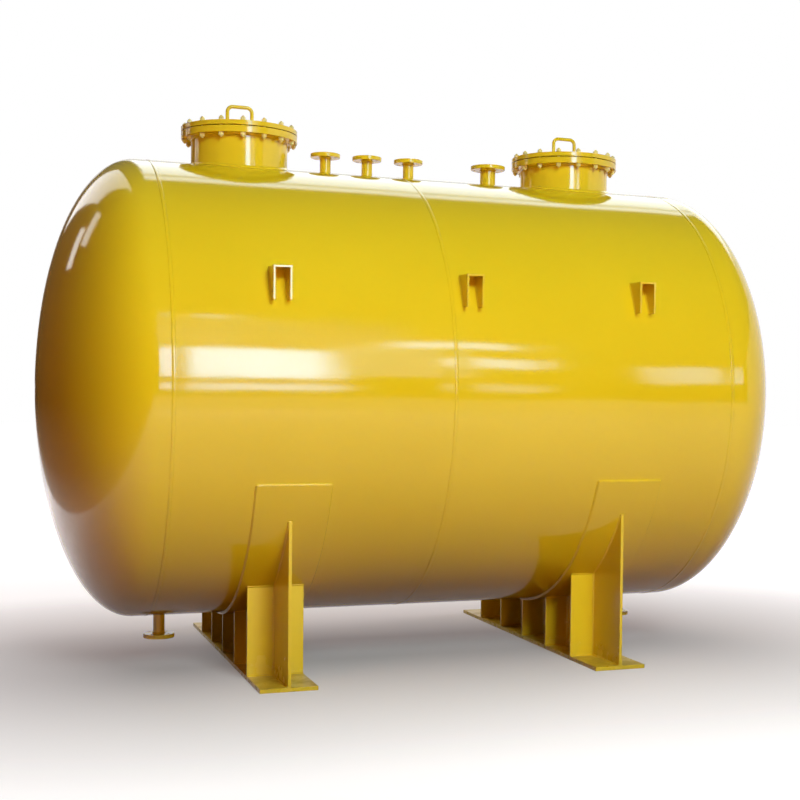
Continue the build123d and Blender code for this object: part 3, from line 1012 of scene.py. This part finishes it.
@dataclass(frozen=True)
class Saddle:
    """Welded saddle: wear plate, web, ribs and base plate."""

    side: str
    centre: float
    shell_radius: float = SHELL_RADIUS
    axis_height: float = AXIS_HEIGHT
    wear_thick: float = 0.01
    wear_half_width: float = 0.182
    wear_from: float = -158.0
    wear_sweep: float = 136.0
    wear_steps: int = 700
    half_web: float = 0.008
    web_steps: int = 600
    half_base: float = 0.144
    base_top: float = 0.02
    reach: float = 1.042
    rib_rows: tuple[float, ...] = (-0.705, -0.3525, 0.0, 0.3525, 0.705)
    half_rib: float = 0.006
    bead: Bead = Bead(leg=0.007)
    thin_bead: Bead = Bead(leg=0.006)
    step: float = 0.004

    @property
    def wear_radius(self) -> float:
        """Radius of the wear plate's outer face."""
        return self.shell_radius + self.wear_thick

    def ring_points(self, radius: float, angles: np.ndarray, x: float) -> tuple[np.ndarray, np.ndarray]:
        """Points (x, r cos a, axis + r sin a) and their outward radial directions."""
        out = np.stack([np.zeros_like(angles), np.cos(angles), np.sin(angles)], axis=1)
        return np.array([x, 0.0, self.axis_height]) + radius * out, out

    def wear_beads(self) -> list[Surface]:
        """Corner beads along the wear plate's two curved edges and two straight ends.

        Edge path: (x, r cos a, axis + r sin a) on the shell. End path: straight across the plate.

        Returns:
            Points and faces of each bead.
        """
        angles = np.radians(np.linspace(self.wear_from, self.wear_from + self.wear_sweep, self.wear_steps))
        beads = []
        for way in (-1.0, 1.0):
            path, out = self.ring_points(self.shell_radius, angles, self.centre + way * self.wear_half_width)
            beads.append(self.bead.corner(path, (way, 0.0, 0.0), out))
        half = np.array([self.wear_half_width, 0.0, 0.0])
        for end, way in ((angles[0], -1.0), (angles[-1], 1.0)):
            out = np.array([0.0, np.cos(end), np.sin(end)])
            onwards = way * np.array([0.0, -np.sin(end), np.cos(end)])
            spot = np.array([self.centre, 0.0, self.axis_height]) + self.shell_radius * out
            beads.append(self.bead.corner(line(spot - half, spot + half, self.step), onwards, out))
        return beads

    def web_beads(self) -> list[Surface]:
        """Corner beads of the web against the base plate and the wear plate, on both faces.

        Foot path: straight along the base plate. Head path: (x, r cos a, axis + r sin a) under the
        wear plate, as far out as the web reaches.

        Returns:
            Points and faces of each bead.
        """
        beads = []
        low = -np.pi / 2.0 - np.arcsin(self.reach / self.wear_radius)
        angles = np.linspace(low, -np.pi - low, self.web_steps)
        for way in (-1.0, 1.0):
            x, side = self.centre + way * self.half_web, (way, 0.0, 0.0)
            foot = line((x, -self.reach, self.base_top), (x, self.reach, self.base_top), self.step)
            beads.append(self.thin_bead.corner(foot, side, (0.0, 0.0, 1.0)))
            head, out = self.ring_points(self.wear_radius, angles, x)
            beads.append(self.bead.corner(head, side, out))
        return beads

    def rib_beads(self) -> list[Surface]:
        """Corner beads of each rib against the web, the base plate and the wear plate.

        All paths are straight. The one at the top lies at axis - sqrt(r^2 - y^2), and its first leg
        leans along the wear plate there.

        Returns:
            Points and faces of each bead.
        """
        beads = []
        weld = self.thin_bead.corner
        for row in self.rib_rows:
            for face in (-1.0, 1.0):
                y = row + face * self.half_rib
                drop = np.sqrt(self.wear_radius**2 - y**2)
                bottom, top = self.base_top, self.axis_height - drop
                lean = np.array([0.0, face, face * y / drop])
                lean /= np.linalg.norm(lean)
                aside = (0.0, face, 0.0)
                for way in (-1.0, 1.0):
                    near, far = self.centre + way * self.half_web, self.centre + way * self.half_base
                    foot = line((near, y, bottom), (far, y, bottom), self.step)
                    head = line((near, y, top), (far, y, top), self.step)
                    post = line((near, y, bottom), (near, y, top), self.step)
                    beads.append(weld(foot, aside, (0.0, 0.0, 1.0)))
                    beads.append(weld(head, lean, (0.0, 0.0, -1.0)))
                    beads.append(weld(post, aside, (way, 0.0, 0.0)))
        return beads

    def build(self, finishes: Finishes) -> None:
        """Adds the saddle's weld beads.

        Args:
            finishes: The tank's finishes.
        """
        welds = {"wear": self.wear_beads(), "web": self.web_beads(), "rib": self.rib_beads()}
        for plate, beads in welds.items():
            add_piece(f"saddle_{self.side}_{plate}_welds", joined(beads), finishes.saddle)

    def dress(self, finishes: Finishes) -> None:
        """Paints the wear plate like the shell and the rest in the saddle's coat."""
        dress_nodes([f"saddle_{self.side}_wear_plate"], finishes.shell)
        dress_nodes([f"saddle_{self.side}_{part}" for part in ("web", "ribs", "base_plate")], finishes.saddle)


@dataclass(frozen=True)
class Clips:
    """Three welded clips on the front of the shell."""

    centres: tuple[float, ...] = (-0.96, 0.005, 0.96)
    shell_radius: float = SHELL_RADIUS
    axis_height: float = AXIS_HEIGHT
    half_width: float = 0.045
    plate: float = 0.01
    low: float = 0.424
    high: float = 0.586
    bead: Bead = Bead(leg=0.005)
    gusset_steps: int = 60
    top_step: float = 0.003

    def build(self, finishes: Finishes) -> None:
        """Adds corner beads along the backs of the gussets and of the top plates.

        Gusset path: (x, -sqrt(r^2 - h^2), axis + h) for h from the gusset's foot to the plate, on
        both faces of each gusset. Top path: straight along the plate's upper back edge.

        Args:
            finishes: The tank's finishes.
        """
        front = (0.0, -1.0, 0.0)
        rise = np.linspace(self.low, self.high - self.plate, self.gusset_steps)
        reach = np.sqrt(self.shell_radius**2 - rise**2)
        top_reach = np.sqrt(self.shell_radius**2 - self.high**2)
        up_shell = np.array([0.0, self.high, top_reach]) / self.shell_radius
        half = np.array([self.half_width, 0.0, 0.0])
        beads = []
        for centre in self.centres:
            for way in (-1.0, 1.0):
                for inset, side in ((0.0, way), (self.plate, -way)):
                    x = np.full_like(rise, centre + way * (self.half_width - inset))
                    path = np.stack([x, -reach, self.axis_height + rise], axis=1)
                    beads.append(self.bead.corner(path, (side, 0.0, 0.0), front))
            middle = np.array([centre, -top_reach, self.axis_height + self.high])
            beads.append(self.bead.corner(line(middle - half, middle + half, self.top_step), up_shell, front))
        add_piece("clip_welds", joined(beads), finishes.fitting)

    def dress(self, finishes: Finishes) -> None:
        """Paints the clips."""
        dress_nodes(["clip_tops", "clip_gussets"], finishes.fitting)


# Studio


FRONT_WINDOW_Y = -10.0
SIDE_WINDOW_X = -3.58
ROOF_LIGHT_X = 7.8
ROOF_LIGHT_Z = 10.6
ROOF_LIGHT_LENGTH = 16.4
ROOF_LIGHT_BRIGHTNESS = 2.0

SKY_TINT = (0.33, 0.62, 1.0)
ROOF_TINT = (0.75, 0.88, 1.0)
SIDE_TINT = (0.98, 1.0, 1.0)
DAY_TINT = (1.0, 0.95, 0.88)


@dataclass(frozen=True)
class Lamp:
    """A rectangular soft lamp, set by its brightness, that either lights or shows in the gloss."""

    name: str
    place: Vec3
    aim: Vec3
    size: Span
    brightness: float
    tint: Vec3
    work: Work = Work.LIGHT

    def build(self) -> None:
        """Adds the lamp; its power is pi * area * brightness, and the camera doesn't see it."""
        lamp = bpy.data.lights.new(self.name, "AREA")
        lamp.shape = "RECTANGLE"
        lamp.size, lamp.size_y = self.size
        lamp.energy = np.pi * lamp.size * lamp.size_y * self.brightness
        lamp.color = self.tint
        holder = bpy.data.objects.new(self.name, lamp)
        holder.location = self.place
        holder.rotation_mode = "QUATERNION"
        holder.rotation_quaternion = (Vector(self.aim) - Vector(self.place)).to_track_quat("-Z", "Y")
        holder.visible_camera = False
        holder.visible_glossy = self.work is Work.MIRROR
        holder.visible_diffuse = self.work is Work.LIGHT
        bpy.context.scene.collection.objects.link(holder)
        log.info("lamp %s", self.name)


def front_window(name: str, x: float, z: float, size: Span, brightness: float) -> Lamp:
    """A sky-lit opening in front of the tank that looks straight back and only gloss shows."""
    return Lamp(name, (x, FRONT_WINDOW_Y, z), (x, 0.0, z), size, brightness, SKY_TINT, Work.MIRROR)


def roof_light(name: str, y: float, depth: float) -> Lamp:
    """A long roof light behind the tank's crown that looks straight down and only gloss shows."""
    place, aim = (ROOF_LIGHT_X, y, ROOF_LIGHT_Z), (ROOF_LIGHT_X, y, 0.0)
    return Lamp(name, place, aim, (ROOF_LIGHT_LENGTH, depth), ROOF_LIGHT_BRIGHTNESS, ROOF_TINT, Work.MIRROR)


def side_window(name: str, y: float, z: float, size: Span, brightness: float) -> Lamp:
    """An opening in the left flag that looks along the tank and only gloss shows."""
    return Lamp(name, (SIDE_WINDOW_X, y, z), (0.0, y, z), size, brightness, SIDE_TINT, Work.MIRROR)


@dataclass(frozen=True)
class Sheet:
    """A flat sheet between two corners that differ along two axes."""

    name: str
    low: Vec3
    high: Vec3

    def points(self) -> np.ndarray:
        """Corner grid: the two axes in which the corners differ, at the third one's fixed place.

        Returns:
            Two rows of two points.
        """
        corners = np.array([self.low, self.high])
        flat = int(np.argmin(np.abs(corners[1] - corners[0])))
        first, second = (axis for axis in range(3) if axis != flat)
        grid = [np.full((2, 2), corners[0, flat]) for _ in range(3)]
        grid[first], grid[second] = np.meshgrid(corners[:, first], corners[:, second])
        return np.stack(grid, axis=2)


@dataclass(frozen=True)
class Studio:
    """Pale floor, white surround, soft lamps and the dim flags that the enamel mirrors, which glow with
    painted shade.

    The floor and the surround show pale to the camera, to gloss and through glass, and the floor
    carries a painted shadow round the tank. Bounced light meets a brown ground, painted dark below
    the tank as shade.
    """

    floor: Sheet = Sheet("floor", (-60.0, -60.0, 0.0), (60.0, 60.0, 0.0))
    floor_paint: Vec3 = (0.40, 0.35, 0.38)
    foot_half_line: float = 1.3
    # Painted shadow: near the tank the floor's glow drops, so the floor is darker round and under it.
    painted_shadow_reach: Span = (0.3, 2.6)
    painted_shadow_glow: Span = (0.12, 0.72)
    far_reach: Span = (2.0, 9.0)
    far_glow: Span = (0.0, 0.28)
    # Painted shadow for bounced light: the ground is dark near the tank and brown further out.
    ground_painted_shadow_reach: Span = (1.0, 3.2)
    ground_shades: tuple[tuple[float, Vec3], ...] = ((0.0, (0.04, 0.016, 0.008)), (1.0, (0.62, 0.235, 0.095)))
    surround_shades: tuple[tuple[float, Vec3], ...] = ((0.0, (0.10, 0.06, 0.04)), (1.0, (0.05, 0.05, 0.045)))
    flag_height: float = 11.0
    # Painted shade and light on the flags by height: pale at the foot, darkest just above, lighter to the
    # top.
    flag_painted_shades: tuple[tuple[float, Vec3], ...] = (
        (0.0, (0.50, 0.44, 0.40)),
        (0.05, (0.20, 0.14, 0.10)),
        (0.12, (0.05, 0.03, 0.014)),
        (0.35, (0.12, 0.075, 0.035)),
        (1.0, (0.16, 0.15, 0.11)),
    )
    flags: tuple[Sheet, ...] = (
        Sheet("front_flag", (-24.0, -24.0, 0.0), (24.0, -24.0, 11.0)),
        Sheet("left_flag", (-3.6, -24.0, 0.0), (-3.6, 60.0, 14.0)),
        Sheet("overhead_flag", (-3.6, -24.0, 11.0), (24.0, 5.1, 11.0)),
        Sheet("overhead_bar_flag", (-3.6, 5.1, 11.0), (-0.7, 30.0, 11.0)),
    )
    lamps: tuple[Lamp, ...] = (
        Lamp("key_lamp", (0.5, -9.2, 5.8), (0.0, 0.0, 1.5), (3.5, 2.5), 25.0, (0.78, 1.0, 0.93)),
        Lamp("low_key_lamp", (0.2, -9.5, 1.3), (0.0, 0.0, 1.2), (2.0, 1.6), 13.0, (1.0, 0.56, 0.36)),
        Lamp("left_fill_lamp", (-7.0, -6.0, 5.0), (-1.5, 0.0, 1.5), (3.0, 2.0), 4.5, (1.0, 0.46, 0.27)),
        Lamp("back_lamp", (-2.0, 9.0, 5.5), (0.0, 0.0, 1.5), (6.0, 4.0), 7.0, DAY_TINT),
        Lamp("right_fill_lamp", (8.5, 2.5, 5.0), (1.5, 0.0, 1.4), (3.0, 2.5), 12.0, DAY_TINT),
        front_window("door_lamp", 0.7, 3.6, (1.8, 2.4), 19.0),
        front_window("door_top_lamp", 0.42, 8.0, (0.5, 0.35), 8.0),
        front_window("door_foot_lamp", 0.7, 1.7, (1.9, 0.5), 10.5),
        front_window("haze_window_lamp", 2.5, 4.0, (1.3, 2.6), 2.2),
        front_window("high_window_lamp", 3.3, 5.6, (1.5, 0.6), 11.0),
        front_window("middle_window_lamp", 3.5, 4.0, (1.3, 0.8), 11.0),
        front_window("low_window_lamp", 3.6, 1.9, (1.0, 0.6), 4.0),
        front_window("far_window_lamp", 6.2, 3.3, (1.1, 1.5), 6.0),
        roof_light("roof_light_near", 5.6, 1.0),
        roof_light("roof_light_far", 12.4, 11.6),
        side_window("side_window", 6.6, 7.0, (8.0, 5.4), 1.9),
        side_window("side_slit_near", 1.75, 3.62, (0.5, 0.85), 2.2),
        side_window("side_slit_far", 2.52, 3.2, (0.6, 0.7), 2.2),
    )

    @staticmethod
    def set_up(sheet: Sheet, finish: Material) -> bpy.types.Object:
        """Adds a staged sheet as one open surface.

        Args:
            sheet: Its name and corners.
            finish: Its material.

        Returns:
            The staged object.
        """
        mesh = bpy.data.meshes.new(sheet.name)
        mesh.from_pydata(sheet.points().reshape(-1, 3).tolist(), [], [(0, 1, 3, 2)])
        mesh.materials.append(finish)
        thing = bpy.data.objects.new(sheet.name, mesh)
        bpy.context.scene.collection.objects.link(thing)
        log.info("stage %s", sheet.name)
        return thing

    def floor_finish(self) -> Material:
        """Pale floor for the eye and for mirrors, with the tank's cast shadow and a painted shadow, and brown
        ground for bounced light.

        Distance from the tank's foot line: sqrt(max(|x| - half line, 0)^2 + y^2). The floor's own
        glow grows with it, in a near and a far step, so a painted shadow darkens the floor near and
        under the tank. The ground for bounced light is painted dark near the tank as well.

        Returns:
            The floor's material.
        """
        nodes = Nodes(bpy.data.materials.new("studio_floor_paint"))
        spot = nodes.axes(nodes.coords.outputs["Object"])
        beyond = nodes.math("SUBTRACT", nodes.math("ABSOLUTE", spot["X"]), self.foot_half_line)
        along = nodes.math("POWER", nodes.math("MAXIMUM", beyond, 0.0), 2.0)
        across = nodes.math("MULTIPLY", spot["Y"], spot["Y"])
        away = nodes.math("SQRT", nodes.math("ADD", along, across))
        # Painted shadow: the glow is lowest by the tank and grows outwards.
        near = nodes.spread(away, self.painted_shadow_reach, self.painted_shadow_glow)
        far = nodes.spread(away, self.far_reach, self.far_glow)
        glow = nodes.add("ShaderNodeEmission")
        nodes.join(nodes.math("ADD", near, far), glow.inputs["Strength"])
        pale = nodes.add("ShaderNodeBsdfDiffuse")
        pale.inputs["Color"].default_value = (*self.floor_paint, 1.0)
        both = nodes.add("ShaderNodeAddShader")
        nodes.join(glow.outputs["Emission"], both.inputs[0])
        nodes.join(pale.outputs["BSDF"], both.inputs[1])
        ground = nodes.add("ShaderNodeBsdfDiffuse")
        # Painted shadow in bounced light: the ground is dark near the tank, brown further out.
        out_of_painted_shadow = nodes.spread(away, self.ground_painted_shadow_reach)
        nodes.join(nodes.ramp(out_of_painted_shadow, self.ground_shades), ground.inputs["Color"])
        return nodes.finish(nodes.pick(nodes.plain_rays(), ground.outputs["BSDF"], both.outputs["Shader"]))

    def flag_finish(self) -> Material:
        """Glowing sheet painted with shade: dim brown, with painted light at its foot, where it meets the
        floor.

        Returns:
            The flags' material.
        """
        nodes = Nodes(bpy.data.materials.new("flag_painted_shade_glow"))
        height = nodes.axes(nodes.coords.outputs["Object"])["Z"]
        level = nodes.spread(height, (0.0, self.flag_height))
        glow = nodes.add("ShaderNodeEmission")
        # Painted shade by height: pale painted light at the foot, darkest just above it, lighter towards the
        # top.
        nodes.join(nodes.ramp(level, self.flag_painted_shades), glow.inputs["Color"])
        return nodes.finish(glow.outputs["Emission"])

    def hang_flags(self) -> None:
        """Hangs the dim flags, which only reflections show."""
        finish = self.flag_finish()
        for flag in self.flags:
            sheet = self.set_up(flag, finish)
            sheet.visible_camera = False
            sheet.visible_diffuse = False
            sheet.visible_shadow = False
            sheet.visible_transmission = False

    def surround(self) -> None:
        """White world for the eye and for mirrors, a warm dim one for the light itself."""
        nodes = Nodes(bpy.data.worlds.new("studio_surround"))
        upward = nodes.axes(nodes.coords.outputs["Generated"])["Z"]
        soft, white = (nodes.add("ShaderNodeBackground") for _ in range(2))
        nodes.join(nodes.ramp(upward, self.surround_shades), soft.inputs["Color"])
        white.inputs["Color"].default_value = (1.0, 1.0, 1.0, 1.0)
        white.inputs["Strength"].default_value = 1.0
        shown = nodes.pick(nodes.plain_rays(), soft.outputs["Background"], white.outputs["Background"])
        bpy.context.scene.world = nodes.finish(shown)

    def build(self) -> None:
        """Sets up the floor, the flags, the lamps and the surround."""
        self.set_up(self.floor, self.floor_finish())
        self.hang_flags()
        for lamp in self.lamps:
            lamp.build()
        self.surround()


@dataclass(frozen=True)
class PhotoCamera:
    """Camera at the photograph's place; its axis meets the picture off centre, so the lens is shifted."""

    name: str = "photo_camera"
    place: Vec3 = (-2.3487, -7.6139, 1.4347)
    yaw: float = 0.3755
    pitch: float = -0.0276
    roll: float = 0.0118
    lens: float = 62.0
    sensor: float = 36.0
    shift: Span = (-0.135, 0.04625)
    far_limit: float = 500.0

    def turn(self) -> Matrix:
        """Camera axes right, up and back, worked out from yaw, pitch and roll.

        Ahead is (sin yaw cos pitch, cos yaw cos pitch, sin pitch), and the roll turns the level
        right-hand axis and the one above it round that.

        Returns:
            The camera's rotation.
        """
        flat = np.cos(self.pitch)
        ahead = Vector((np.sin(self.yaw) * flat, np.cos(self.yaw) * flat, np.sin(self.pitch)))
        level = Vector((np.cos(self.yaw), -np.sin(self.yaw), 0.0))
        rise = level.cross(ahead)
        right = level * np.cos(self.roll) + rise * np.sin(self.roll)
        up = rise * np.cos(self.roll) - level * np.sin(self.roll)
        return Matrix((right, up, -ahead)).transposed().to_4x4()

    def build(self) -> None:
        """Adds the camera and makes it the scene's own."""
        lens = bpy.data.cameras.new(self.name)
        lens.lens, lens.sensor_width = self.lens, self.sensor
        lens.shift_x, lens.shift_y = self.shift
        lens.clip_end = self.far_limit
        camera = bpy.data.objects.new(self.name, lens)
        camera.matrix_world = Matrix.Translation(self.place) @ self.turn()
        bpy.context.scene.collection.objects.link(camera)
        bpy.context.scene.camera = camera
        log.info("camera placed")


def main() -> None:
    """Builds and dresses every part of the tank, then the studio and the camera."""
    bpy.context.scene.view_settings.view_transform = "Standard"
    finishes = Finishes()
    shell = TankShell()
    shell.build(finishes)
    shell.dress(finishes)
    fittings = (
        Manway("left", centre=-0.95, flange_back=2.825, cover_top=2.888),
        Manway("right", centre=0.991, flange_back=2.804, cover_top=2.867),
        Nozzle("nozzle_1", centre=-0.469),
        Nozzle("nozzle_2", centre=-0.228),
        Nozzle("nozzle_3", centre=0.017),
        Nozzle("nozzle_4", centre=0.505, pipe_radius=0.04445),
        Nozzle("drain_left", centre=-1.37, flange_back=0.144, facing=Facing.DOWN),
        Nozzle("drain_right", centre=1.37, flange_back=0.144, facing=Facing.DOWN),
    )
    for fitting in fittings:
        fitting.build(finishes, shell)
        fitting.dress(finishes)
    for part in (Saddle("left", centre=-0.883), Saddle("right", centre=0.901), Clips()):
        part.build(finishes)
        part.dress(finishes)
    Studio().build()
    PhotoCamera().build()


if __name__ == "__main__":
    main()
